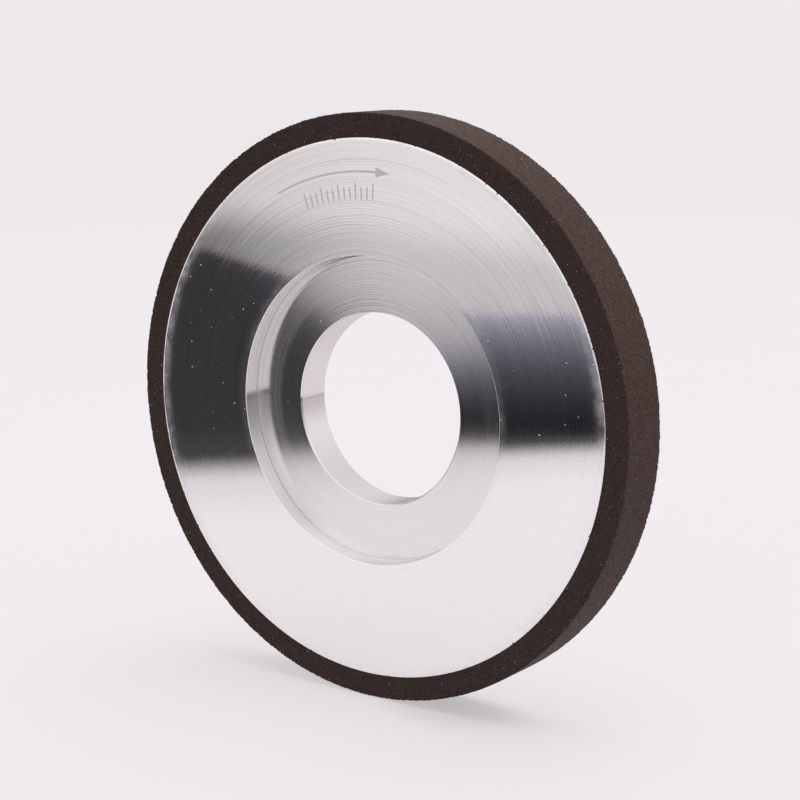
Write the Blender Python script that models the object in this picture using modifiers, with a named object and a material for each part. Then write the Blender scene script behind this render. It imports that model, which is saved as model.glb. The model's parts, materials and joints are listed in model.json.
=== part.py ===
"""Diamond grinding wheel: a turned aluminium core that carries a resin-bonded diamond rim.

Metres, +Z up. The origin is the wheel's centre and the wheel's axis is Y. The wheel stands on
its rim, with the recessed front face towards -Y and the plain back face towards +Y.
"""

import math

import bpy

MM = 0.001

# Driving dimensions.
OUTER_RADIUS = 62.5 * MM
RIM_DEPTH = 5.0 * MM
BORE_RADIUS = 20.625 * MM
CORE_THICKNESS = 13.0 * MM
RECESS_RADIUS = 33.0 * MM
RECESS_DEPTH = 4.0 * MM

# The rim is dressed slightly below the two faces of the core.
CORE_STANDS_PROUD = 0.1 * MM
# Room left between the core and the rim, which the resin fills on the real wheel.
JOINT_GAP = 0.3 * MM

# Grooves turned in the edge of the core, with ribs of the rim in them, stop the rim sliding off.
KEY_COUNT = 2
KEY_SPACING = 5.6 * MM
KEY_WIDTH = 2.2 * MM
KEY_DEPTH = 0.8 * MM

# Corner breaks and chamfers.
CORE_EDGE_BREAK = 0.15 * MM
RECESS_EDGE_BREAK = 0.25 * MM
BORE_FRONT_CHAMFER = 0.3 * MM
BORE_BACK_CHAMFER = 0.9 * MM
RIM_EDGE_BREAK = 0.12 * MM

# The turned shapes are polygons of this many sides, and one side lies flat on the ground.
SIDES = 144
MERGE_DISTANCE = 0.01 * MM
SHARP_ANGLE = math.radians(30)

JOINT_RADIUS = OUTER_RADIUS - RIM_DEPTH
HALF_CORE = CORE_THICKNESS / 2
HALF_RIM = HALF_CORE - CORE_STANDS_PROUD
RECESS_FLOOR = HALF_CORE - RECESS_DEPTH
KEY_CENTRES = [KEY_SPACING * ((KEY_COUNT - 1) / 2 - i) for i in range(KEY_COUNT)]


def clear_scene():
    for obj in list(bpy.data.objects):
        bpy.data.objects.remove(obj, do_unlink=True)


def make_collection(name):
    collection = bpy.data.collections.new(name)
    bpy.context.scene.collection.children.link(collection)
    return collection


def make_material(name, colour, metallic, roughness):
    material = bpy.data.materials.new(name)
    material.use_nodes = True
    shader = material.node_tree.nodes["Principled BSDF"]
    shader.inputs["Base Color"].default_value = (*colour, 1.0)
    shader.inputs["Metallic"].default_value = metallic
    shader.inputs["Roughness"].default_value = roughness
    return material


def towards(start, end, distance):
    """The point that lies this far from start on the way to end."""
    share = distance / math.dist(start, end)
    return tuple(a + (b - a) * share for a, b in zip(start, end))


def cut_corners(corners):
    """The closed outline through (radius, height, size) corners, each cut back by its size."""
    outline = []
    for i, (radius, height, size) in enumerate(corners):
        here = (radius, height)
        if size == 0:
            outline.append(here)
            continue
        outline.append(towards(here, corners[i - 1][:2], size))
        outline.append(towards(here, corners[(i + 1) % len(corners)][:2], size))
    return outline


def key_corners(surface, bottom, width):
    """The square corners of the keys in an edge of this radius, from the front key to the back one."""
    corners = []
    for centre in KEY_CENTRES:
        front = centre + width / 2
        back = centre - width / 2
        corners += [(surface, front, 0), (bottom, front, 0), (bottom, back, 0), (surface, back, 0)]
    return corners


def turned(name, corners, material, collection):
    """A ring turned from its cross-section: radius outwards, height towards the wheel's front."""
    outline = cut_corners(corners)
    edges = [(i, (i + 1) % len(outline)) for i in range(len(outline))]
    section = bpy.data.meshes.new(name + "_section")
    section.from_pydata([(radius, 0, height) for radius, height in outline], edges, [])
    obj = bpy.data.objects.new(name, section)
    collection.objects.link(obj)
    screw = obj.modifiers.new("Turn", "SCREW")
    screw.axis = "Z"
    screw.angle = math.tau
    screw.steps = SIDES
    screw.render_steps = SIDES
    screw.use_merge_vertices = True
    screw.merge_threshold = MERGE_DISTANCE
    finished = bpy.data.meshes.new_from_object(obj.evaluated_get(bpy.context.evaluated_depsgraph_get()))
    finished.name = name
    finished.materials.append(material)
    finished.shade_smooth()
    finished.set_sharp_from_angle(angle=SHARP_ANGLE)
    obj.modifiers.clear()
    obj.data = finished
    bpy.data.meshes.remove(section)
    # The front looks towards -Y, and half a side's turn lays one side flat at the bottom.
    obj.rotation_euler = (math.pi / 2, -math.pi / SIDES, 0)
    return obj


def make_core(collection):
    """The aluminium body: bore, counterbored front, plain back and a keyed edge under the rim."""
    edge = JOINT_RADIUS - JOINT_GAP / 2
    corners = [(edge, HALF_CORE, CORE_EDGE_BREAK)]
    corners += key_corners(edge, edge - KEY_DEPTH, KEY_WIDTH)
    corners += [
        (edge, -HALF_CORE, CORE_EDGE_BREAK),
        (BORE_RADIUS, -HALF_CORE, BORE_BACK_CHAMFER),
        (BORE_RADIUS, RECESS_FLOOR, BORE_FRONT_CHAMFER),
        (RECESS_RADIUS, RECESS_FLOOR, 0),
        (RECESS_RADIUS, HALF_CORE, RECESS_EDGE_BREAK),
    ]
    aluminium = make_material("turned_aluminium", (0.80, 0.79, 0.80), 1.0, 0.28)
    return turned("aluminium_core", corners, aluminium, collection)


def make_rim(collection):
    """The abrasive ring, moulded round the core, with a rib in each of its key grooves."""
    inside = JOINT_RADIUS + JOINT_GAP / 2
    ribs = key_corners(inside, inside - KEY_DEPTH, KEY_WIDTH - 2 * JOINT_GAP)
    corners = [
        (OUTER_RADIUS, HALF_RIM, RIM_EDGE_BREAK),
        (OUTER_RADIUS, -HALF_RIM, RIM_EDGE_BREAK),
        (inside, -HALF_RIM, 0),
        *reversed(ribs),
        (inside, HALF_RIM, 0),
    ]
    resin_diamond = make_material("resin_bonded_diamond", (0.035, 0.026, 0.022), 0.0, 0.75)
    return turned("abrasive_rim", corners, resin_diamond, collection)


def main():
    clear_scene()
    wheel = make_collection("diamond_grinding_wheel")
    make_core(wheel)
    make_rim(wheel)


main()
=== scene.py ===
import json
import math

import bpy
import numpy as np
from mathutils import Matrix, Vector


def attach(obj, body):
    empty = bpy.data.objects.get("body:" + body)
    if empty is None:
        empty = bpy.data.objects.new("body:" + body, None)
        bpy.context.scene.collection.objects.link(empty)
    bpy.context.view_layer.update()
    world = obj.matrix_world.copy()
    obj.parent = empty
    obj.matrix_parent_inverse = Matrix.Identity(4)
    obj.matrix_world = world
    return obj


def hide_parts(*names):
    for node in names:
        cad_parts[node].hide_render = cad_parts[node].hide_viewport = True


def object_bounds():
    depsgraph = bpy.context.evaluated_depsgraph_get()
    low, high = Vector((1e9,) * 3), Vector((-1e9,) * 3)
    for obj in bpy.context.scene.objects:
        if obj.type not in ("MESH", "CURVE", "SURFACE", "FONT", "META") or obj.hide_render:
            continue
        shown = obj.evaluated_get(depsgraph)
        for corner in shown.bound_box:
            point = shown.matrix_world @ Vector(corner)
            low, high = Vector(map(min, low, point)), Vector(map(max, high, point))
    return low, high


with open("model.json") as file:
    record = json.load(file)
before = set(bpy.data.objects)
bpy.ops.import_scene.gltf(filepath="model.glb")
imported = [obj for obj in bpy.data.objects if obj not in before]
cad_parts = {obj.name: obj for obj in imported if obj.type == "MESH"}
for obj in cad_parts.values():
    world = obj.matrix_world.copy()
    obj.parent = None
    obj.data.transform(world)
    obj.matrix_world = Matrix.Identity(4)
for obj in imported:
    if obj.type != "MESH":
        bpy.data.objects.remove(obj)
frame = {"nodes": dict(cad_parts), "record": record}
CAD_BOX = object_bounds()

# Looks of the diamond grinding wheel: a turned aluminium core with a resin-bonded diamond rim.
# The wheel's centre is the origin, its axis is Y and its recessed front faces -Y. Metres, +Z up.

MM = 0.001
SEED = 1125


# ---------------------------------------------------------------- sizes, read from the frame

def vertices_of(node):
    """Each vertex of a CAD node, as its distance from the wheel's axis and its place along it."""
    points = np.array([v.co for v in frame["nodes"][node].data.vertices])
    return np.hypot(points[:, 0], points[:, 2]), points[:, 1]


def mount_place(name):
    mounts = frame["record"]["mounts"]
    return next(mount["pos_m"] for mount in mounts if mount["name"] == name)


CORE_RADII, CORE_PLACES = vertices_of("aluminium_core")
RIM_RADII, RIM_PLACES = vertices_of("abrasive_rim")

ON_PLANE = 0.02 * MM
CORE_FRONT = CORE_PLACES.min()
CORE_BACK = CORE_PLACES.max()
RIM_FRONT = RIM_PLACES.min()
RIM_BACK = RIM_PLACES.max()
OUTER_RADIUS = RIM_RADII.max()
BORE_RADIUS = CORE_RADII.min()
FLOOR_PLACE = mount_place("front_flange_seat")[1]
RECESS_RADIUS = CORE_RADII[np.abs(CORE_PLACES - FLOOR_PLACE) < ON_PLANE].max()
# The rim's inside closes the small gap that the CAD model leaves round the core.
JOINT_RADIUS = CORE_RADII.max()
GROUND = -OUTER_RADIUS


# ---------------------------------------------------------------- meshes

def smooth_by_angle(mesh, degrees):
    mesh.shade_smooth()
    mesh.set_sharp_from_angle(angle=math.radians(degrees))


def lathe_grid(profile, segments):
    """The points of a closed (radius, place) outline turned about Y, as rings by segments by 3."""
    outline = np.array(profile)
    angles = np.arange(segments) * math.tau / segments
    grid = np.empty((len(outline), segments, 3))
    grid[:, :, 0] = outline[:, :1] * np.cos(angles)
    grid[:, :, 1] = outline[:, 1:]
    grid[:, :, 2] = outline[:, :1] * np.sin(angles)
    return grid


def mesh_from_grid(name, grid):
    """A mesh from rings of points, closed both round the wheel and round its cross-section."""
    rings, segments = grid.shape[:2]
    ring, segment = np.meshgrid(np.arange(rings), np.arange(segments), indexing="ij")
    next_ring = (ring + 1) % rings
    next_segment = (segment + 1) % segments
    corners = [
        ring * segments + segment,
        next_ring * segments + segment,
        next_ring * segments + next_segment,
        ring * segments + next_segment,
    ]
    faces = np.stack(corners, axis=-1).reshape(-1, 4)
    mesh = bpy.data.meshes.new(name)
    mesh.from_pydata(grid.reshape(-1, 3).tolist(), [], faces.tolist())
    mesh.update()
    return mesh


def add_piece(name, mesh, material):
    """A visible piece of the wheel, riding on its one body."""
    mesh.materials.append(material)
    obj = bpy.data.objects.new(name, mesh)
    bpy.context.scene.collection.objects.link(obj)
    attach(obj, "root")
    return obj


def arc(centre, radius, start, end, steps):
    """Points of an arc in the cross-section; angles in degrees, 0 outwards and 90 towards the back."""
    turns = np.radians(np.linspace(start, end, steps))
    return [(centre[0] + radius * math.cos(t), centre[1] + radius * math.sin(t)) for t in turns]


def line(start, end, pitch):
    """Evenly spaced points from start up to, but not including, end."""
    count = max(1, round(math.dist(start, end) / pitch))
    shares = np.arange(count) / count
    return [tuple(np.array(start) + (np.array(end) - np.array(start)) * s) for s in shares]


# ---------------------------------------------------------------- aluminium core

CORE_SEGMENTS = 400
FACE_PITCH = 0.35 * MM
SEAT_PITCH = 0.35 * MM
GROOVE_STEPS = 7
CORE_SHARP_ANGLE = 28
BACK_PITCH = 0.6 * MM
PLAIN_PITCH = 1.6 * MM
TOOL_MARK_SLOPE = 0.0005
TOOL_MARK_DRIFT = 0.25
EDGE_BAND = 1.6 * MM
EDGE_BAND_DROP = 0.002 * MM
EDGE_ROUND_WIDTH = 0.09 * MM
EDGE_ROUND_DROP = 0.09 * MM
EDGE_ROUND_STEPS = 5
EDGE_ROUND_POWER = 0.9
LIP_CHAMFER = 0.12 * MM
LIP_BAND = 1.3 * MM
LIP_BAND_DROP = 0.0015 * MM
CORNER_GROOVE_WIDTH = 0.5 * MM
CORNER_GROOVE_DEPTH = 0.22 * MM
SEAT_CHAMFER = 0.3 * MM
BORE_BACK_CHAMFER = 0.9 * MM


def tool_marks(points, slope, rng):
    """Shifts points along the axis like the fine uneven spiral that a turning tool leaves."""
    height = 0.0
    marked = []
    for before, here in zip([points[0], *points[:-1]], points):
        step = math.dist(before, here)
        height = TOOL_MARK_DRIFT * height + rng.normal(0, slope) * step
        marked.append((here[0], here[1] + height))
    return marked


def face_drop(radius):
    """How far the front face falls away towards its rounded outer edge and towards the recess."""
    start = JOINT_RADIUS - EDGE_ROUND_WIDTH - EDGE_BAND
    outer = max(0.0, (radius - start) / EDGE_BAND)
    inner = max(0.0, 1 - (radius - RECESS_RADIUS - LIP_CHAMFER) / LIP_BAND)
    return EDGE_BAND_DROP * outer**2 + LIP_BAND_DROP * inner**2


def core_profile(rng):
    """The closed cross-section: front face, outer edge, back face, bore, seat and recess wall."""
    face_start = RECESS_RADIUS + LIP_CHAMFER
    face_end = JOINT_RADIUS - EDGE_ROUND_WIDTH
    face = line((face_start, CORE_FRONT), (face_end, CORE_FRONT), FACE_PITCH)
    face = [(r, y + face_drop(r)) for r, y in tool_marks(face, TOOL_MARK_SLOPE, rng)]
    round_start = CORE_FRONT + EDGE_BAND_DROP
    turns = [share * math.pi / 2 for share in np.linspace(0, 1, EDGE_ROUND_STEPS)]
    front_edge = [
        (face_end + EDGE_ROUND_WIDTH * math.sin(turn) ** EDGE_ROUND_POWER,
         round_start + EDGE_ROUND_DROP * (1 - math.cos(turn)))
        for turn in turns
    ]
    back_start = (JOINT_RADIUS - EDGE_ROUND_DROP, CORE_BACK)
    rim_side = line(front_edge[-1], (JOINT_RADIUS, CORE_BACK - EDGE_ROUND_DROP), PLAIN_PITCH)
    back_end = (BORE_RADIUS + BORE_BACK_CHAMFER, CORE_BACK)
    back = tool_marks(line(back_start, back_end, BACK_PITCH), TOOL_MARK_SLOPE, rng)
    bore_back = (BORE_RADIUS, CORE_BACK - BORE_BACK_CHAMFER)
    bore_front = (BORE_RADIUS, FLOOR_PLACE + SEAT_CHAMFER)
    bore = line(bore_back, bore_front, PLAIN_PITCH)
    seat_start = (BORE_RADIUS + SEAT_CHAMFER, FLOOR_PLACE)
    groove_start = RECESS_RADIUS - CORNER_GROOVE_WIDTH
    seat = line(seat_start, (groove_start, FLOOR_PLACE), SEAT_PITCH)
    seat = tool_marks(seat, TOOL_MARK_SLOPE, rng)
    middle = (groove_start + CORNER_GROOVE_WIDTH / 2, FLOOR_PLACE)
    squash = CORNER_GROOVE_DEPTH / (CORNER_GROOVE_WIDTH / 2)
    groove = [
        (r, FLOOR_PLACE + (y - FLOOR_PLACE) * squash)
        for r, y in arc(middle, CORNER_GROOVE_WIDTH / 2, 180, 0, GROOVE_STEPS)
    ]
    lip = (RECESS_RADIUS, CORE_FRONT + LIP_CHAMFER)
    wall = line((RECESS_RADIUS, FLOOR_PLACE), lip, PLAIN_PITCH)
    return [
        *face, *front_edge[:-1], *rim_side, (JOINT_RADIUS, CORE_BACK - EDGE_ROUND_DROP),
        *back, back_end, *bore, bore_front, *seat, *groove, *wall[1:], lip,
    ]


def make_core(material):
    grid = lathe_grid(core_profile(np.random.default_rng(SEED)), CORE_SEGMENTS)
    mesh = mesh_from_grid("turned_core", grid)
    smooth_by_angle(mesh, CORE_SHARP_ANGLE)
    core = add_piece("turned_core", mesh, material)
    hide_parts("aluminium_core")


# ---------------------------------------------------------------- abrasive rim

RIM_SEGMENTS = 1200
RIM_PITCH = 0.42 * MM
RIM_CORNER = 0.1 * MM
GRAIN_HEIGHT = 0.022 * MM
LUMP_HEIGHT = 0.012 * MM
LUMP_SPREAD = 2
CHIP_DEPTH = 0.1 * MM
CHIP_REACH = 0.45 * MM
CHIP_AMOUNT = 0.3
RIM_SHARP_ANGLE = 50


def blurred(values, radius):
    """Values averaged over a square of neighbours, wrapping round both ways."""
    result = values
    for axis in (0, 1):
        shifts = [np.roll(result, shift, axis) for shift in range(-radius, radius + 1)]
        result = sum(shifts) / len(shifts)
    return result / result.std()


def rim_profile():
    """The closed cross-section, from the joint out along the front, across the edge and back in."""
    front = line((JOINT_RADIUS, RIM_FRONT), (OUTER_RADIUS - RIM_CORNER, RIM_FRONT), RIM_PITCH)
    edge_front = (OUTER_RADIUS, RIM_FRONT + RIM_CORNER)
    edge_back = (OUTER_RADIUS, RIM_BACK - RIM_CORNER)
    edge = line(edge_front, edge_back, RIM_PITCH)
    back_start = (OUTER_RADIUS - RIM_CORNER, RIM_BACK)
    back = line(back_start, (JOINT_RADIUS, RIM_BACK), RIM_PITCH)
    return [
        *front, (OUTER_RADIUS - RIM_CORNER, RIM_FRONT), *edge, edge_back,
        *back, (JOINT_RADIUS, RIM_BACK),
    ]


def rim_grid():
    """The rim's points, roughened by grain and chipped along its two outer corners."""
    rng = np.random.default_rng(SEED + 1)
    profile = np.array(rim_profile())
    grid = lathe_grid(profile, RIM_SEGMENTS)
    shape = grid.shape[:2]
    grain = rng.normal(size=shape) * GRAIN_HEIGHT
    grain = grain + blurred(rng.normal(size=shape), LUMP_SPREAD) * LUMP_HEIGHT
    radii, places = profile[:, 0], profile[:, 1]
    on_edge = radii > OUTER_RADIUS - RIM_CORNER / 2
    outward = np.where(on_edge, 1.0, 0.0)
    along = np.where(on_edge, 0.0, np.sign(places))
    # The ring at the joint stays where the core is.
    loose = (radii > JOINT_RADIUS + ON_PLANE).astype(float)
    to_corner = np.hypot(OUTER_RADIUS - radii, RIM_BACK - np.abs(places))
    nearness = np.clip(1 - to_corner / CHIP_REACH, 0, 1)
    chips = np.clip(rng.normal(size=shape) + CHIP_AMOUNT, 0, None)
    chips = chips * nearness[:, None] * CHIP_DEPTH
    angles = np.arange(RIM_SEGMENTS) * math.tau / RIM_SEGMENTS
    radial = grain * (outward * loose)[:, None] - chips
    axial = grain * (along * loose)[:, None] - chips * np.sign(places)[:, None]
    grid[:, :, 0] += radial * np.cos(angles)
    grid[:, :, 1] += axial
    grid[:, :, 2] += radial * np.sin(angles)
    return grid


def make_rim(material):
    mesh = mesh_from_grid("diamond_rim", rim_grid())
    smooth_by_angle(mesh, RIM_SHARP_ANGLE)
    rim = add_piece("diamond_rim", mesh, material)
    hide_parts("abrasive_rim")


# ---------------------------------------------------------------- diamond crystals

CRYSTAL_COUNT = 1100
CRYSTAL_SIZES = (0.05 * MM, 0.12 * MM)
CRYSTAL_EDGE_MARGIN = 0.4 * MM
OCTAHEDRON = np.array([(1, 0, 0), (-1, 0, 0), (0, 1, 0), (0, -1, 0), (0, 0, 1), (0, 0, -1)])
# One face for each choice of an X, a Y and a Z corner, turned so that it looks outwards.
OCTAHEDRON_FACES = np.array([
    (a, 2 + b, 4 + c) if (a + b + c) % 2 == 0 else (2 + b, a, 4 + c)
    for a in (0, 1) for b in (0, 1) for c in (0, 1)
])


def random_turns(count, rng):
    """Rotation matrices spread evenly over all directions, from random unit quaternions."""
    drawn = rng.normal(size=(4, count))
    w, x, y, z = drawn / np.linalg.norm(drawn, axis=0)
    return np.stack([
        1 - 2 * (y * y + z * z), 2 * (x * y - z * w), 2 * (x * z + y * w),
        2 * (x * y + z * w), 1 - 2 * (x * x + z * z), 2 * (y * z - x * w),
        2 * (x * z - y * w), 2 * (y * z + x * w), 1 - 2 * (x * x + y * y),
    ], axis=-1).reshape(-1, 3, 3)


def crystal_places(rng):
    """Where the crystals break the rim's surface: on its front, its edge and its back."""
    depth = OUTER_RADIUS - JOINT_RADIUS
    width = RIM_BACK - RIM_FRONT
    along = rng.uniform(0, 2 * depth + width, CRYSTAL_COUNT)
    angles = rng.uniform(0, math.tau, CRYSTAL_COUNT)
    margin = CRYSTAL_EDGE_MARGIN
    inward = np.where(along < depth, depth - along, along - depth - width)
    inward = np.clip(inward, 0, depth)
    on_edge = inward == 0
    inward = np.clip(inward, margin, depth - margin)
    radii = np.where(on_edge, OUTER_RADIUS, OUTER_RADIUS - inward)
    across = np.clip(RIM_FRONT + along - depth, RIM_FRONT + margin, RIM_BACK - margin)
    places = np.where(on_edge, across, np.where(along < depth, RIM_FRONT, RIM_BACK))
    return np.stack([radii * np.cos(angles), places, radii * np.sin(angles)], axis=-1)


def make_crystals(material):
    rng = np.random.default_rng(SEED + 2)
    centres = crystal_places(rng)
    sizes = rng.uniform(*CRYSTAL_SIZES, CRYSTAL_COUNT)
    turned = np.einsum("nij,kj->nki", random_turns(CRYSTAL_COUNT, rng), OCTAHEDRON)
    points = centres[:, None] + turned * sizes[:, None, None]
    starts = np.arange(CRYSTAL_COUNT)[:, None, None] * len(OCTAHEDRON)
    faces = (OCTAHEDRON_FACES[None] + starts).reshape(-1, 3)
    mesh = bpy.data.meshes.new("diamond_crystals")
    mesh.from_pydata(points.reshape(-1, 3).tolist(), [], faces.tolist())
    mesh.update()
    add_piece("diamond_crystals", mesh, material)


# ---------------------------------------------------------------- etched mark

MARK_LIFT = 0.004 * MM
MARK_RADIUS = 50.4 * MM
MARK_ANGLES = (83.5, 117.5)
MARK_WIDTH = 0.42 * MM
ARROW_LENGTH = 3.4 * MM
ARROW_WIDTH = 2.1 * MM
ARROW_TIP_SHARE = 0.02
TICK_RADII = (44.6 * MM, 47.2 * MM)
TICK_WIDTH = 0.38 * MM
TICK_ANGLES = (88, 110)
TICK_COUNT = 13
TICK_STEPS = 6
LONG_TICK_EVERY = 3
LONG_TICK_EXTRA = 0.8 * MM
MARK_STEPS = 60


def flat_strip(inner, outer):
    """Vertices and faces of a flat strip between two rows of (radius, degrees) points."""
    place = CORE_FRONT - MARK_LIFT
    vertices = []
    for radius, degrees in [*inner, *outer]:
        turn = math.radians(degrees)
        vertices.append((radius * math.cos(turn), place, radius * math.sin(turn)))
    count = len(inner)
    faces = [(i, i + 1, count + i + 1, count + i) for i in range(count - 1)]
    return vertices, faces


def degrees_round(length, radius):
    """The angle in degrees that an arc of this length takes up."""
    return length * 360 / (math.tau * radius)


def arrow_strips():
    """The arrow's curved shaft and its head."""
    head = degrees_round(ARROW_LENGTH, MARK_RADIUS)
    shaft = np.linspace(MARK_ANGLES[0] + head, MARK_ANGLES[1], MARK_STEPS)
    low, high = MARK_RADIUS - MARK_WIDTH / 2, MARK_RADIUS + MARK_WIDTH / 2
    tip = np.linspace(MARK_ANGLES[0], MARK_ANGLES[0] + head, MARK_STEPS // 4)
    shares = [(angle - tip[0]) / head for angle in tip]
    half = [ARROW_WIDTH / 2 * (ARROW_TIP_SHARE + (1 - ARROW_TIP_SHARE) * s) for s in shares]
    return [
        ([(low, a) for a in shaft], [(high, a) for a in shaft]),
        ([(MARK_RADIUS - h, a) for h, a in zip(half, tip)],
         [(MARK_RADIUS + h, a) for h, a in zip(half, tip)]),
    ]


def tick_strips():
    """A row of radial ticks, every third one a little longer."""
    spread = degrees_round(TICK_WIDTH / 2, TICK_RADII[0])
    strips = []
    for i, centre in enumerate(np.linspace(*TICK_ANGLES, TICK_COUNT)):
        extra = 0 if i % LONG_TICK_EVERY else LONG_TICK_EXTRA
        radii = np.linspace(TICK_RADII[0], TICK_RADII[1] + extra, TICK_STEPS)
        strips.append(([(r, centre - spread) for r in radii], [(r, centre + spread) for r in radii]))
    return strips


def make_mark(material):
    """A curved arrow for the direction of rotation, over a row of plain index ticks."""
    vertices, faces = [], []
    for inner, outer in arrow_strips() + tick_strips():
        more, quads = flat_strip(inner, outer)
        faces += [tuple(len(vertices) + i for i in quad) for quad in quads]
        vertices += more
    mesh = bpy.data.meshes.new("etched_mark")
    mesh.from_pydata(vertices, [], faces)
    mesh.update()
    add_piece("etched_mark", mesh, material)


# ---------------------------------------------------------------- node helpers

class Nodes:
    """Short calls for building one node tree."""

    def __init__(self, tree):
        self.tree = tree

    def add(self, kind, inputs=None, **settings):
        node = self.tree.nodes.new(kind)
        for key, value in settings.items():
            setattr(node, key, value)
        for key, value in (inputs or {}).items():
            self.feed(node.inputs[key], value)
        return node

    def feed(self, socket, value):
        if isinstance(value, bpy.types.NodeSocket):
            self.tree.links.new(value, socket)
        else:
            socket.default_value = value

    def math(self, operation, *values, clamp=False):
        node = self.add("ShaderNodeMath", operation=operation, use_clamp=clamp)
        for socket, value in zip(node.inputs, values):
            self.feed(socket, value)
        return node.outputs[0]

    def product(self, first, *others):
        for other in others:
            first = self.math("MULTIPLY", first, other)
        return first

    def rest(self, share):
        """What a share leaves of one."""
        return self.math("SUBTRACT", 1.0, share)

    def vector(self, operation, *values):
        node = self.add("ShaderNodeVectorMath", operation=operation)
        for socket, value in zip(node.inputs, values):
            self.feed(socket, value)
        return node.outputs["Value" if operation in ("LENGTH", "DOT_PRODUCT") else "Vector"]

    def scale(self, vector, factor):
        node = self.add("ShaderNodeVectorMath", {"Scale": factor}, operation="SCALE")
        self.feed(node.inputs[0], vector)
        return node.outputs["Vector"]

    def split(self, vector):
        return self.add("ShaderNodeSeparateXYZ", {"Vector": vector}).outputs

    def join(self, x=0.0, y=0.0, z=0.0):
        return self.add("ShaderNodeCombineXYZ", {"X": x, "Y": y, "Z": z}).outputs[0]

    def ramp(self, value, low, high, to_low=0.0, to_high=1.0):
        node = self.add("ShaderNodeMapRange", clamp=True, interpolation_type="SMOOTHSTEP")
        for socket, number in zip(node.inputs, (value, low, high, to_low, to_high)):
            self.feed(socket, number)
        return node.outputs["Result"]

    def noise(self, vector, scale, detail=2.0, roughness=0.5):
        inputs = {"Vector": vector, "Scale": scale, "Detail": detail, "Roughness": roughness}
        return self.add("ShaderNodeTexNoise", inputs).outputs["Fac"]

    def noise_along(self, value, scale, roughness):
        """Noise of a single value."""
        inputs = {"W": value, "Scale": scale, "Detail": 1.0, "Roughness": roughness}
        return self.add("ShaderNodeTexNoise", inputs, noise_dimensions="1D").outputs["Fac"]

    def mix(self, share, first, second):
        node = self.add("ShaderNodeMix", data_type="RGBA")
        for index, value in ((0, share), (6, first), (7, second)):
            self.feed(node.inputs[index], value)
        return node.outputs[2]


def new_material(name):
    material = bpy.data.materials.new(name)
    material.use_nodes = True
    nodes = Nodes(material.node_tree)
    return material, nodes, material.node_tree.nodes["Principled BSDF"]


def colour(red, green, blue):
    return (red, green, blue, 1.0)


# ---------------------------------------------------------------- turned aluminium

ALUMINIUM = colour(0.95, 0.935, 0.94)
WALL_ALUMINIUM = (0.775, 0.755, 0.752)
BORE_ALUMINIUM = (0.78, 0.745, 0.742)
DUST = colour(0.60, 0.60, 0.63)
# Painted highlight: the pale colour of the line along the joint and along the lip.
PAINTED_HIGHLIGHT_COLOUR = colour(0.93, 0.915, 0.87)
RESIN = colour(0.04, 0.026, 0.023)
# Slopes of the surface, in radians.
GROOVE_SLOPE = 0.0115
BROAD_RING_SLOPE = 0.0015
GRAIN_SLOPE = 0.0042
SEAT_TILT = 0.0125
SEAT_TONE = 0.9
FACE_ROUGHNESS = 0.024
SEAT_ROUGHNESS = 0.078
WALL_ROUGHNESS = 0.16
GROOVE_ROUGHNESS = 0.055
GRIME_ROUGHNESS = 0.25
# Roughness of the painted highlight and of the resin nicks.
HIGHLIGHT_AND_NICK_ROUGHNESS = 0.35
FILM_SHARE = 0.36
SPECK_SHARE = 0.75
SCRATCH_SHARE = 0.045
# How strongly the lip of the recess takes the painted highlight.
LIP_HIGHLIGHT_SHARE = 0.6
# The floor of the recess is dustier outside this pair of radii than inside it.
DUSTY_SEAT_RADII = (25.2 * MM, 27.8 * MM)
SCRATCH_TURNS = (63.0, -52.0)
SCRATCHES_ACROSS = 2400.0
SCRATCHES_ALONG = 38.0
# Directions from the wheel's axis, in the plane of the wheel.
TO_LEFT = (-0.98, 0.0, -0.17)
TO_UPPER_LEFT = (-0.77, 0.0, 0.64)


class CorePoint:
    """Where a shaded point lies on the turned core, as sockets of one node tree."""

    def __init__(self, n):
        self.place = n.add("ShaderNodeTexCoord").outputs["Object"]
        self.normal = n.add("ShaderNodeNewGeometry").outputs["Normal"]
        self.depth = n.split(self.place)["Y"]
        flat = n.vector("MULTIPLY", self.place, (1, 0, 1))
        self.radius = n.vector("LENGTH", flat)
        self.direction = n.vector("NORMALIZE", flat)
        self.height = n.split(self.direction)["Z"]
        # Walls face the axis; the seat is the floor of the recess.
        facing = n.math("ABSOLUTE", n.vector("DOT_PRODUCT", self.normal, self.direction))
        self.wall = n.ramp(facing, 0.6, 0.8)
        self.flat = n.rest(self.wall)
        in_recess = n.math("LESS_THAN", self.radius, RECESS_RADIUS)
        in_front = n.math("LESS_THAN", self.depth, 0.0)
        self.seat = n.product(in_recess, in_front, self.flat)
        self.on_face = n.math("LESS_THAN", self.depth, CORE_FRONT + 0.5 * MM)
        self.left = n.ramp(n.vector("DOT_PRODUCT", self.direction, TO_LEFT), 0.0, 0.85, 0.15, 1.0)
        # Noise that is the same all round a ring, over the radius in millimetres.
        self.along = n.math("MULTIPLY", self.radius, 1000.0)
        self.fine = n.noise_along(self.along, 6.0, 0.5)
        self.broad = n.noise_along(self.along, 1.1, 0.5)
        # Each ring fades and comes back on its way round the wheel.
        swept = n.vector("ADD", n.scale(self.direction, 1.6), n.join(y=n.product(self.along, 0.9)))
        self.strength = n.ramp(n.noise(swept, 1.0, 2.0), 0.3, 0.7, 0.6, 1.3)


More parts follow.
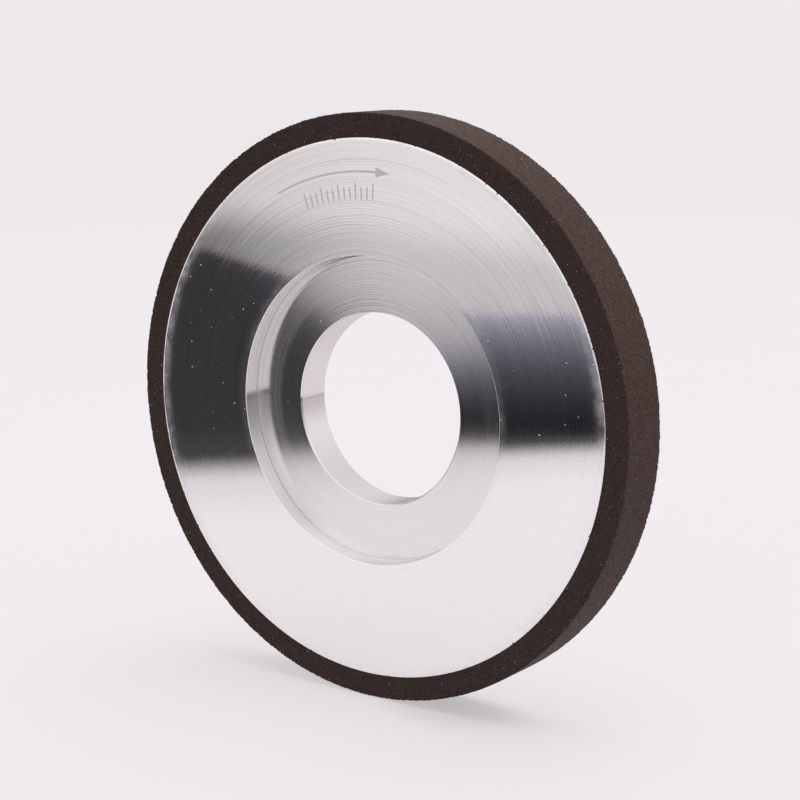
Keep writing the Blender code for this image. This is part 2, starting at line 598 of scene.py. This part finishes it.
def tilted_normal(n, at):
    """Flat lands between narrow grooves that tilt in and out along the radius."""
    ridge = n.product(n.math("SUBTRACT", at.fine, 0.5), 3.3)
    grooves = n.product(ridge, ridge, ridge, GROOVE_SLOPE)
    waves = n.product(n.math("SUBTRACT", at.broad, 0.5), BROAD_RING_SLOPE)
    tilt = n.product(n.math("ADD", grooves, waves), at.strength)
    tilt = n.math("ADD", tilt, n.product(at.seat, SEAT_TILT))
    tilted = n.vector("ADD", at.normal, n.scale(at.direction, n.product(tilt, at.flat)))
    # A very fine grain makes the edges of what the faces mirror a little ragged.
    ragged = n.product(n.math("SUBTRACT", n.noise(at.place, 2300.0, 2.0, 0.6), 0.5), GRAIN_SLOPE)
    ragged = n.product(ragged, n.math("GREATER_THAN", at.radius, RECESS_RADIUS + LIP_CHAMFER))
    tilted = n.vector("ADD", tilted, n.scale((0.0, 0.0, 1.0), ragged))
    return n.vector("NORMALIZE", tilted)


def handling_film(n, at):
    """Dust and finger film: thick by the rim, thinner round the recess and on its floor."""
    clouds = n.ramp(n.noise(at.place, 420.0, 4.0, 0.65), 0.3, 0.7, 0.2, 1.0)
    wide_clouds = n.ramp(n.noise(at.place, 45.0, 2.0, 0.5), 0.3, 0.6, 0.35, 1.0)
    by_rim = n.ramp(at.radius, JOINT_RADIUS - 3.4 * MM, JOINT_RADIUS - 0.3 * MM)
    by_rim = n.math("POWER", by_rim, 1.5)
    by_lip = n.product(n.ramp(at.radius, RECESS_RADIUS + 2.2 * MM, RECESS_RADIUS + 0.4 * MM), 0.3)
    edges = n.product(n.math("MAXIMUM", by_rim, by_lip), at.on_face)
    film = n.product(edges, clouds, wide_clouds, FILM_SHARE)
    outer_seat = n.ramp(at.radius, *DUSTY_SEAT_RADII, 0.012, 0.085)
    by_wall = n.ramp(at.radius, RECESS_RADIUS - 2.0 * MM, RECESS_RADIUS - 0.4 * MM, 0.0, 0.16)
    uneven = n.ramp(at.broad, 0.3, 0.7, 0.7, 1.3)
    on_seat = n.product(n.math("ADD", outer_seat, by_wall), uneven, at.left, at.seat)
    return n.math("ADD", film, on_seat)


def dust_specks(n, at):
    """Small round dots, about two in every square centimetre, each of its own size."""
    parts = n.split(at.place)
    inputs = {"Vector": n.join(parts["X"], parts["Z"]), "Scale": 330.0}
    cells = n.add("ShaderNodeTexVoronoi", inputs, voronoi_dimensions="2D").outputs
    chance = n.add("ShaderNodeSeparateColor", {"Color": cells["Color"]}).outputs["Red"]
    size = n.ramp(chance, 0.8, 1.0, 0.0, 0.055)
    return n.product(n.math("LESS_THAN", cells["Distance"], size), at.flat)


def scratches(n, at):
    """Faint straight scratches in two directions across the face."""
    found = []
    for seed, degrees in enumerate(SCRATCH_TURNS):
        turn = math.radians(degrees)
        across = n.vector("DOT_PRODUCT", at.place, (math.cos(turn), 0.0, math.sin(turn)))
        along = n.vector("DOT_PRODUCT", at.place, (-math.sin(turn), 0.0, math.cos(turn)))
        stretched = n.join(
            n.product(across, SCRATCHES_ACROSS), n.product(along, SCRATCHES_ALONG), 7.0 * seed,
        )
        found.append(n.ramp(n.noise(stretched, 1.0, 1.0), 0.70, 0.78))
    return n.math("MAXIMUM", *found)


def grime_share(n, at):
    grime = n.math("MAXIMUM", handling_film(n, at), n.product(dust_specks(n, at), SPECK_SHARE))
    grime = n.math("MAXIMUM", grime, n.product(scratches(n, at), SCRATCH_SHARE))
    return n.math("ADD", grime, n.product(n.ramp(at.fine, 0.45, 0.75), 0.02))


def painted_highlight_share(n, at):
    """A painted highlight: a pale line of uneven width along the joint, clearest at the left, and a
    pale line along the lip of the recess.
    """
    uneven = n.ramp(n.noise(at.direction, 9.0, 3.0, 0.6), 0.3, 0.7, 0.14 * MM, 0.34 * MM)
    width = n.product(uneven, at.left)
    painted_highlight = n.math("GREATER_THAN", at.radius, n.math("SUBTRACT", JOINT_RADIUS, width))
    painted_highlight = n.product(painted_highlight, at.on_face)
    lip = n.math("LESS_THAN", at.radius, RECESS_RADIUS + LIP_CHAMFER + 0.02 * MM)
    lip = n.product(lip, n.math("LESS_THAN", at.depth, CORE_FRONT + LIP_CHAMFER + 0.01 * MM))
    return n.math("MAXIMUM", painted_highlight, n.product(lip, LIP_HIGHLIGHT_SHARE))


def nick_share(n, at):
    """Here and there the dark resin bites a little way over the joint."""
    bite = n.ramp(n.noise(at.direction, 62.0, 3.0, 0.65), 0.56, 0.74, -0.02 * MM, 0.4 * MM)
    nick = n.math("GREATER_THAN", at.radius, n.math("SUBTRACT", JOINT_RADIUS, bite))
    return n.product(nick, at.on_face)


def ring_lines_and_painted_reflection(n, at):
    """Hair-fine dark and bright rings of the turning, drawn into the colour and clearest at the upper
    left, where the mirrored light picks them out: partly real rings, partly painted reflection.
    Returns their tone, and the dark ones.
    """
    hair = n.noise_along(n.math("ADD", at.along, 40.0), 7.0, 0.6)
    dark = n.ramp(hair, 0.53, 0.70)
    bright = n.ramp(hair, 0.47, 0.30)
    tone = n.math("SUBTRACT", n.product(bright, 0.08), n.product(dark, 0.27))
    # Painted reflection: the rings show most towards the top and the upper left.
    upper = n.ramp(at.height, -0.3, 0.35, 0.15, 1.0)
    corner = n.ramp(n.vector("DOT_PRODUCT", at.direction, TO_UPPER_LEFT), 0.3, 0.9, 1.0, 1.5)
    return n.product(tone, upper, corner, at.strength, at.flat), dark


def metal_with_painted_light(n, at, tone):
    """The metal before grime. The recess's wall is painted lighter towards the bottom, a painted
    light, and the bore is painted darker at its top and bottom, a painted shade.
    """
    # Painted light: the recess's wall is brighter towards the bottom.
    recess_wall_painted_light = n.scale(WALL_ALUMINIUM, n.ramp(at.height, -0.78, -0.93, 1.0, 1.2))
    # Painted shade: the bore is darker towards its top and bottom.
    bore_painted_shade = n.ramp(n.math("ABSOLUTE", at.height), 0.3, 0.85, 1.0, 0.865)
    in_bore = n.math("LESS_THAN", at.radius, BORE_RADIUS + 2 * MM)
    walls = n.mix(in_bore, recess_wall_painted_light, n.scale(BORE_ALUMINIUM, bore_painted_shade))
    bare_metal_and_painted_light = n.mix(at.wall, ALUMINIUM, walls)
    return n.scale(bare_metal_and_painted_light, n.math("ADD", n.ramp(at.seat, 0.0, 1.0, 1.0, SEAT_TONE), tone))


def aluminium_material():
    """Bright turned aluminium: fine rings, a film of dust towards the edges, and a few scratches."""
    material, n, shader = new_material("turned_aluminium")
    at = CorePoint(n)
    grime, painted_highlight, nick = grime_share(n, at), painted_highlight_share(n, at), nick_share(n, at)
    tone, dark_hair = ring_lines_and_painted_reflection(n, at)
    # The pale lines along the joint and the lip are a painted highlight.
    base = n.mix(painted_highlight, n.mix(grime, metal_with_painted_light(n, at, tone), DUST), PAINTED_HIGHLIGHT_COLOUR)
    metallic = n.math("SUBTRACT", n.rest(n.product(grime, 0.9)), n.product(painted_highlight, 0.7), clamp=True)
    rough = n.math("ADD", FACE_ROUGHNESS, n.product(at.seat, SEAT_ROUGHNESS - FACE_ROUGHNESS))
    for share, roughness in (
        (at.wall, WALL_ROUGHNESS - FACE_ROUGHNESS),
        (grime, GRIME_ROUGHNESS),
        (dark_hair, GROOVE_ROUGHNESS),
        (n.math("MAXIMUM", painted_highlight, nick), HIGHLIGHT_AND_NICK_ROUGHNESS),
    ):
        rough = n.math("ADD", rough, n.product(share, roughness))
    n.feed(shader.inputs["Base Color"], n.mix(nick, base, RESIN))
    n.feed(shader.inputs["Metallic"], n.product(metallic, n.rest(nick)))
    n.feed(shader.inputs["Roughness"], rough)
    n.feed(shader.inputs["Normal"], tilted_normal(n, at))
    shader.inputs["Anisotropic"].default_value = 0.9
    shader.inputs["Anisotropic Rotation"].default_value = 0.25
    tangent = n.add("ShaderNodeTangent", direction_type="RADIAL", axis="Y")
    n.feed(shader.inputs["Tangent"], tangent.outputs[0])
    return material


# ---------------------------------------------------------------- rim, crystals and mark

RESIN_TONES = (colour(0.018, 0.0104, 0.009), colour(0.041, 0.0255, 0.0228))
RESIN_BLOTCH = colour(0.047, 0.031, 0.028)
PALE_GRIT = colour(0.12, 0.10, 0.09)
# Painted light: how much paler the rim's outer edge is than its sides.
EDGE_PAINTED_LIGHT = (1.62, 1.55, 1.5)
RESIN_PIT = colour(0.02, 0.012, 0.0105)


def edge_painted_light_and_pits(n, place, base):
    """The rim's outer edge is painted a little paler than its sides, a painted light, and it has dark
    pits.
    """
    radius = n.vector("LENGTH", n.vector("MULTIPLY", place, (1, 0, 1)))
    edge = n.ramp(radius, OUTER_RADIUS - 0.24 * MM, OUTER_RADIUS - 0.1 * MM)
    base = n.mix(edge, base, n.vector("MULTIPLY", base, EDGE_PAINTED_LIGHT))
    pits = n.ramp(n.noise(place, 1250.0, 3.0, 0.65), 0.47, 0.37, 0.0, 0.5)
    return n.mix(n.product(pits, edge), base, RESIN_PIT)


def rim_material():
    """Dark brown resin filled with fine grit: small pale and dark grains in a matt, pitted face."""
    material, n, shader = new_material("resin_bonded_diamond")
    place = n.add("ShaderNodeTexCoord").outputs["Object"]
    grain = n.noise(place, 3400.0, 2.0, 0.7)
    blotch = n.noise(place, 700.0, 3.0, 0.6)
    grit = n.add("ShaderNodeTexVoronoi", {"Vector": place, "Scale": 3600.0}).outputs
    chance = n.add("ShaderNodeSeparateColor", {"Color": grit["Color"]}).outputs["Red"]
    pale = n.product(n.ramp(grit["Distance"], 0.32, 0.12), n.ramp(chance, 0.82, 0.9), 0.8)
    base = n.mix(n.ramp(grain, 0.35, 0.65), *RESIN_TONES)
    base = n.mix(n.product(n.ramp(blotch, 0.35, 0.75), 0.35), base, RESIN_BLOTCH)
    # The outer edge's paler colour is painted light; its dark pits belong to the resin.
    base = edge_painted_light_and_pits(n, place, base)
    n.feed(shader.inputs["Base Color"], n.mix(pale, base, PALE_GRIT))
    n.feed(shader.inputs["Roughness"], n.ramp(grain, 0.3, 0.7, 0.75, 0.5))
    shader.inputs["Specular IOR Level"].default_value = 0.1
    height = n.math("ADD", grain, n.product(grit["Distance"], 0.5))
    bump = n.add("ShaderNodeBump", {"Strength": 0.7, "Distance": 0.07 * MM, "Height": height})
    n.feed(shader.inputs["Normal"], bump.outputs[0])
    return material


CRYSTAL_TONES = (colour(0.10, 0.08, 0.065), colour(0.42, 0.38, 0.33))
DIAMOND_IOR = 2.4


def crystal_material():
    """Glassy grains of diamond, some dark and some pale."""
    material, n, shader = new_material("diamond_grit")
    place = n.add("ShaderNodeTexCoord").outputs["Object"]
    tone = n.noise(place, 900.0, 1.0)
    n.feed(shader.inputs["Base Color"], n.mix(n.ramp(tone, 0.35, 0.65), *CRYSTAL_TONES))
    n.feed(shader.inputs["Roughness"], n.ramp(tone, 0.3, 0.7, 0.12, 0.3))
    shader.inputs["IOR"].default_value = DIAMOND_IOR
    return material


ETCHED_TONES = (colour(0.52, 0.505, 0.51), colour(0.68, 0.66, 0.665))


def mark_material():
    """Aluminium dulled by a laser: fine pits that scatter what the turned face mirrors."""
    material, n, shader = new_material("etched_aluminium")
    place = n.add("ShaderNodeTexCoord").outputs["Object"]
    pits = n.noise(place, 5200.0, 2.0, 0.6)
    n.feed(shader.inputs["Base Color"], n.mix(n.ramp(pits, 0.3, 0.7), *ETCHED_TONES))
    shader.inputs["Metallic"].default_value = 0.6
    n.feed(shader.inputs["Roughness"], n.ramp(pits, 0.3, 0.7, 0.4, 0.55))
    bump = n.add("ShaderNodeBump", {"Strength": 0.5, "Distance": 0.01 * MM, "Height": pits})
    n.feed(shader.inputs["Normal"], bump.outputs[0])
    return material


# ---------------------------------------------------------------- studio

TABLE_HOLE_RADIUS = 0.0001
TABLE_RADIUS = 1.2
SWEEP_RADIUS = 0.8
SWEEP_TOP = 1.6
SWEEP_STEPS = 24
SWEEP_SEGMENTS = 128
# What the metal mirrors is a table with four straight edges.
TABLE_FRONT_EDGE = 0.242
TABLE_BACK_EDGE = 0.320
TABLE_RIGHT_EDGE = 0.290
TABLE_LEFT_EDGE = 0.420
TABLE_FRONT_ROUNDING = 0.018
TABLE_EDGE_AZIMUTH = math.radians(46.2)
# The heading, in degrees from -Y towards +X, of the middle of what the front face mirrors.
MIRROR_AZIMUTH = -36.0
TABLE_GAP = 0.0002
MIRRORED_TABLE_GAP = 0.0001
TABLE_RINGS = 8

TABLE_DIFFUSE = (colour(0.212, 0.204, 0.210), colour(0.222, 0.213, 0.220))
TABLE_GLOW = colour(1.0, 0.965, 0.99)
TABLE_GLOW_STRENGTH = 0.55
WALL_GLOW_STRENGTH = 0.585
WALL_GLOW_TOP = 0.15
SHADED_SPOT = (19.5 * MM, -3.4 * MM, 0.0)
LEAST_GLOW = 0.05
# Towards its front edge the mirrored table dies away, most of it over a quick width and the rest
# over a slow one. Both widths are given at the wheel and ROUNDING_LENGTH to the right of it.
ROUNDING_LENGTH = 110 * MM
QUICK_WIDTHS = (32 * MM, 20 * MM)
SLOW_WIDTHS = (100 * MM, 60 * MM)
QUICK_SHARE = 0.8
QUICK_START = -16 * MM


def glowing_material(name, base, emission):
    """A matt material in the table's glow colour; base and emission are made from its nodes."""
    material, n, shader = new_material(name)
    place = n.add("ShaderNodeTexCoord").outputs["Object"]
    n.feed(shader.inputs["Base Color"], base(n, place))
    n.feed(shader.inputs["Emission Strength"], emission(n, place))
    shader.inputs["Roughness"].default_value = 0.9
    shader.inputs["Specular IOR Level"].default_value = 0.0
    shader.inputs["Emission Color"].default_value = TABLE_GLOW
    return material


def table_tone(n, place):
    return n.mix(n.noise(place, 3.0, 2.0), *TABLE_DIFFUSE)


def table_glow(n, place):
    """A glow that keeps shadows soft, shaded close under the rim beside where the wheel stands."""
    height = n.split(place)["Z"]
    glow = n.ramp(height, GROUND, WALL_GLOW_TOP, TABLE_GLOW_STRENGTH, WALL_GLOW_STRENGTH)
    near = n.vector("MULTIPLY", n.vector("SUBTRACT", place, SHADED_SPOT), (0.8, 1.2, 0.0))
    return n.product(glow, n.ramp(n.vector("LENGTH", near), 5 * MM, 17 * MM, 0.85, 1.0))


def mirrored_share(n, place):
    """How much of the mirrored table is left, from its rounded front edge inwards."""
    across, sideways = table_directions()
    inside = n.math("SUBTRACT", TABLE_FRONT_EDGE, n.vector("DOT_PRODUCT", place, tuple(across)))
    along = n.vector("DOT_PRODUCT", place, tuple(sideways))
    quick = n.ramp(inside, QUICK_START, n.ramp(along, 0.0, ROUNDING_LENGTH, *QUICK_WIDTHS))
    slow = n.ramp(inside, 0.0, n.ramp(along, 0.0, ROUNDING_LENGTH, *SLOW_WIDTHS))
    return n.math("ADD", n.product(quick, QUICK_SHARE), n.product(slow, 1 - QUICK_SHARE))


def mirrored_tone(n, place):
    return n.mix(mirrored_share(n, place), colour(0, 0, 0), table_tone(n, place))


def mirrored_glow(n, place):
    return n.math("MAXIMUM", n.product(mirrored_share(n, place), TABLE_GLOW_STRENGTH), LEAST_GLOW)


def show_only_to(obj, **rays):
    for ray in ("camera", "diffuse", "glossy", "transmission", "volume_scatter", "shadow"):
        setattr(obj, "visible_" + ray, rays.get(ray, False))


def make_lathed_stage(name, profile, material, **rays):
    """A staged surface turned about the vertical axis from (radius, height) points."""
    angles = np.arange(SWEEP_SEGMENTS) * math.tau / SWEEP_SEGMENTS
    points = [(r * math.cos(a), r * math.sin(a), z) for r, z in profile for a in angles]
    faces = []
    for ring in range(len(profile) - 1):
        for i in range(SWEEP_SEGMENTS):
            j = (i + 1) % SWEEP_SEGMENTS
            first, second = ring * SWEEP_SEGMENTS, (ring + 1) * SWEEP_SEGMENTS
            faces.append((first + i, first + j, second + j, second + i))
    add_staged_mesh(name, points, faces, material, **rays)


def make_table_and_wall():
    """A round pale table, and a wall that curves up from its rim so that no horizon shows."""
    material = glowing_material("pale_table", table_tone, table_glow)
    ground = GROUND - TABLE_GAP
    radii = np.linspace(TABLE_HOLE_RADIUS, TABLE_RADIUS, TABLE_RINGS)
    table = [(radius, ground) for radius in radii]
    make_lathed_stage("table", table, material, camera=True, diffuse=True, shadow=True)
    turns = np.linspace(-math.pi / 2, 0, SWEEP_STEPS)
    wall = [
        (TABLE_RADIUS + SWEEP_RADIUS * math.cos(t), ground + SWEEP_RADIUS * (1 + math.sin(t)))
        for t in turns
    ]
    wall.append((TABLE_RADIUS + SWEEP_RADIUS, SWEEP_TOP))
    # The wall keeps out of the way of the soft light that comes from all round.
    make_lathed_stage("wall", wall, material, camera=True)


def table_directions():
    """The level direction square to the mirrored table's edges, and the one along them."""
    across = Vector((-math.sin(TABLE_EDGE_AZIMUTH), -math.cos(TABLE_EDGE_AZIMUTH), 0))
    return across, Vector((-across.y, across.x, 0))


def add_staged_mesh(name, points, faces, material, **rays):
    mesh = bpy.data.meshes.new(name)
    mesh.from_pydata(points, [], faces)
    mesh.shade_smooth()
    mesh.materials.append(material)
    obj = bpy.data.objects.new(name, mesh)
    bpy.context.scene.collection.objects.link(obj)
    show_only_to(obj, **rays)


def make_mirrored_table():
    """The table as the polished metal mirrors it: a rectangle set askew to the wheel."""
    across, sideways = table_directions()
    height = Vector((0, 0, GROUND - MIRRORED_TABLE_GAP))
    front = across * (TABLE_FRONT_EDGE + TABLE_FRONT_ROUNDING) + height
    back = across * -TABLE_BACK_EDGE + height
    right = sideways * TABLE_RIGHT_EDGE
    left = sideways * -TABLE_LEFT_EDGE
    corners = [tuple(front + left), tuple(front + right), tuple(back + right), tuple(back + left)]
    material = glowing_material("mirrored_table", mirrored_tone, mirrored_glow)
    add_staged_mesh("mirrored_table", corners, [(0, 1, 2, 3)], material, glossy=True)


SOFTBOX_PLACE = Vector((0.15, 0.2, 1.8))
SOFTBOX_SIZE = 2.0
SOFTBOX_POWER = 26.0


def make_softbox():
    """Soft light from above; the metal mirrors the room alone."""
    light = bpy.data.lights.new("overhead_softbox", "AREA")
    light.shape = "SQUARE"
    light.size = SOFTBOX_SIZE
    light.energy = SOFTBOX_POWER
    softbox = bpy.data.objects.new("overhead_softbox", light)
    softbox.location = SOFTBOX_PLACE
    softbox.rotation_euler = (-SOFTBOX_PLACE).to_track_quat("-Z", "Y").to_euler()
    softbox.visible_glossy = False
    bpy.context.scene.collection.objects.link(softbox)


# The room that the metal mirrors. All angles are in degrees. Azimuths count from MIRROR_AZIMUTH.

def mirrored_wall(n, elevation, azimuth):
    """A wall that is bright high up and greyer below, most of all to the left."""
    high = n.mix(n.ramp(azimuth, -7, 3), colour(0.66, 0.61, 0.60), colour(0.80, 0.785, 0.795))
    low = n.mix(n.ramp(azimuth, -6.5, 0.5), colour(0.15, 0.15, 0.155), colour(0.58, 0.56, 0.575))
    grey_edge = n.math("SUBTRACT", -6.2, n.product(azimuth, 0.12))
    return n.mix(n.ramp(n.math("SUBTRACT", elevation, grey_edge), -0.6, 0.8), low, high)


def dark_gap(n, elevation, azimuth, below):
    """The dark under the wall: plain to the left, fading away from blue-grey to the right."""
    fading = n.product(n.math("POWER", 0.345, n.math("MAXIMUM", below, 0.0)), 0.35)
    blue_grey = n.scale((0.99, 0.985, 1.19), fading)
    gap = n.mix(n.ramp(azimuth, -4, 2), colour(0.034, 0.034, 0.038), blue_grey)
    return n.mix(n.ramp(elevation, -11.5, -12.3), gap, colour(0.05, 0.05, 0.053))


def low_left_room(n, elevation, azimuth, aside):
    """What the front face mirrors in the camera's view: the wall, its foot and the dark below."""
    wall_edge = n.ramp(azimuth, -8.8, 2.5, -5.95, -8.5)
    below = n.math("SUBTRACT", wall_edge, elevation)
    over_edge = n.math("SUBTRACT", elevation, wall_edge)
    gap = dark_gap(n, elevation, azimuth, below)
    tone = n.mix(n.ramp(over_edge, -0.1, 0.14), gap, mirrored_wall(n, elevation, azimuth))
    # A thin warm line runs along the wall's lower edge, strongest to the left.
    warm = n.product(n.ramp(over_edge, -0.14, 0.0), n.ramp(over_edge, 0.22, 0.08))
    warm = n.product(warm, n.ramp(azimuth, -6.0, 4.0, 0.85, 0.4))
    tone = n.mix(warm, tone, n.vector("MULTIPLY", tone, (0.84, 0.68, 0.66)))
    # High on the wall is a window: the steepest grooves catch it.
    window = n.product(n.ramp(elevation, -3.4, -1.5, 0.0, 0.5), n.ramp(aside, 34.0, 20.0))
    return n.scale(tone, n.math("ADD", window, 1.0))


def rest_of_room(n, elevation, aside):
    """Dark below the table's edges, greyer in front of the wheel and brighter behind it."""
    front = n.mix(n.ramp(elevation, -9.0, 30.0), colour(0.31, 0.30, 0.315), colour(1.05, 1.02, 1.03))
    front = n.mix(n.ramp(elevation, -9.2, -8.6), colour(0.09, 0.09, 0.1), front)
    back = n.mix(n.ramp(elevation, -9.0, 14.0), colour(0.66, 0.63, 0.63), colour(0.99, 0.965, 0.97))
    back = n.mix(n.ramp(elevation, -9.9, -9.6), colour(0.11, 0.11, 0.12), back)
    return n.mix(n.ramp(aside, 110.0, 150.0), front, back)


def make_world():
    world = bpy.data.worlds.new("studio_world")
    world.use_nodes = True
    bpy.context.scene.world = world
    n = Nodes(world.node_tree)
    parts = n.split(n.add("ShaderNodeTexCoord").outputs["Generated"])
    elevation = n.math("DEGREES", n.math("ARCSINE", parts["Z"]))
    heading = n.math("ARCTAN2", parts["X"], n.product(parts["Y"], -1.0))
    azimuth = n.math("SUBTRACT", n.math("DEGREES", heading), MIRROR_AZIMUTH)
    aside = n.math("ABSOLUTE", azimuth)
    elsewhere = n.math("MAXIMUM", n.ramp(elevation, 0.0, 12.0), n.ramp(aside, 45.0, 65.0))
    low_left = low_left_room(n, elevation, azimuth, aside)
    tone = n.mix(elsewhere, low_left, rest_of_room(n, elevation, aside))
    n.feed(world.node_tree.nodes["Background"].inputs["Color"], tone)


def make_studio():
    make_table_and_wall()
    make_mirrored_table()
    make_softbox()
    make_world()


# ---------------------------------------------------------------- camera

CAMERA_AZIMUTH = math.radians(35.42)
CAMERA_ELEVATION = math.radians(10.89)
CAMERA_DISTANCE = 425.1 * MM
CAMERA_LENS = 89.8
SENSOR_WIDTH = 36.0
CLIP_START = 0.01
CLIP_END = 20.0
# The camera aims a little to the right of the wheel's centre and above it.
AIM_RIGHT = 3.16 * MM
AIM_UP = 1.53 * MM


def make_camera():
    level = math.cos(CAMERA_ELEVATION)
    back = Vector((
        math.sin(CAMERA_AZIMUTH) * level,
        -math.cos(CAMERA_AZIMUTH) * level,
        math.sin(CAMERA_ELEVATION),
    ))
    turn = (-back).to_track_quat("-Z", "Y")
    centre = (CAD_BOX[0] + CAD_BOX[1]) / 2
    data = bpy.data.cameras.new("camera")
    data.lens = CAMERA_LENS
    data.sensor_width = SENSOR_WIDTH
    camera = bpy.data.objects.new("camera", data)
    camera.rotation_mode = "QUATERNION"
    camera.rotation_quaternion = turn
    camera.location = centre + back * CAMERA_DISTANCE + turn @ Vector((AIM_RIGHT, AIM_UP, 0))
    data.clip_start = CLIP_START
    data.clip_end = CLIP_END
    bpy.context.scene.collection.objects.link(camera)
    bpy.context.scene.camera = camera


# ---------------------------------------------------------------- all together

def main():
    bpy.context.scene.view_settings.view_transform = "Standard"
    make_camera()
    make_studio()
    make_core(aluminium_material())
    make_rim(rim_material())
    make_crystals(crystal_material())
    make_mark(mark_material())


main()
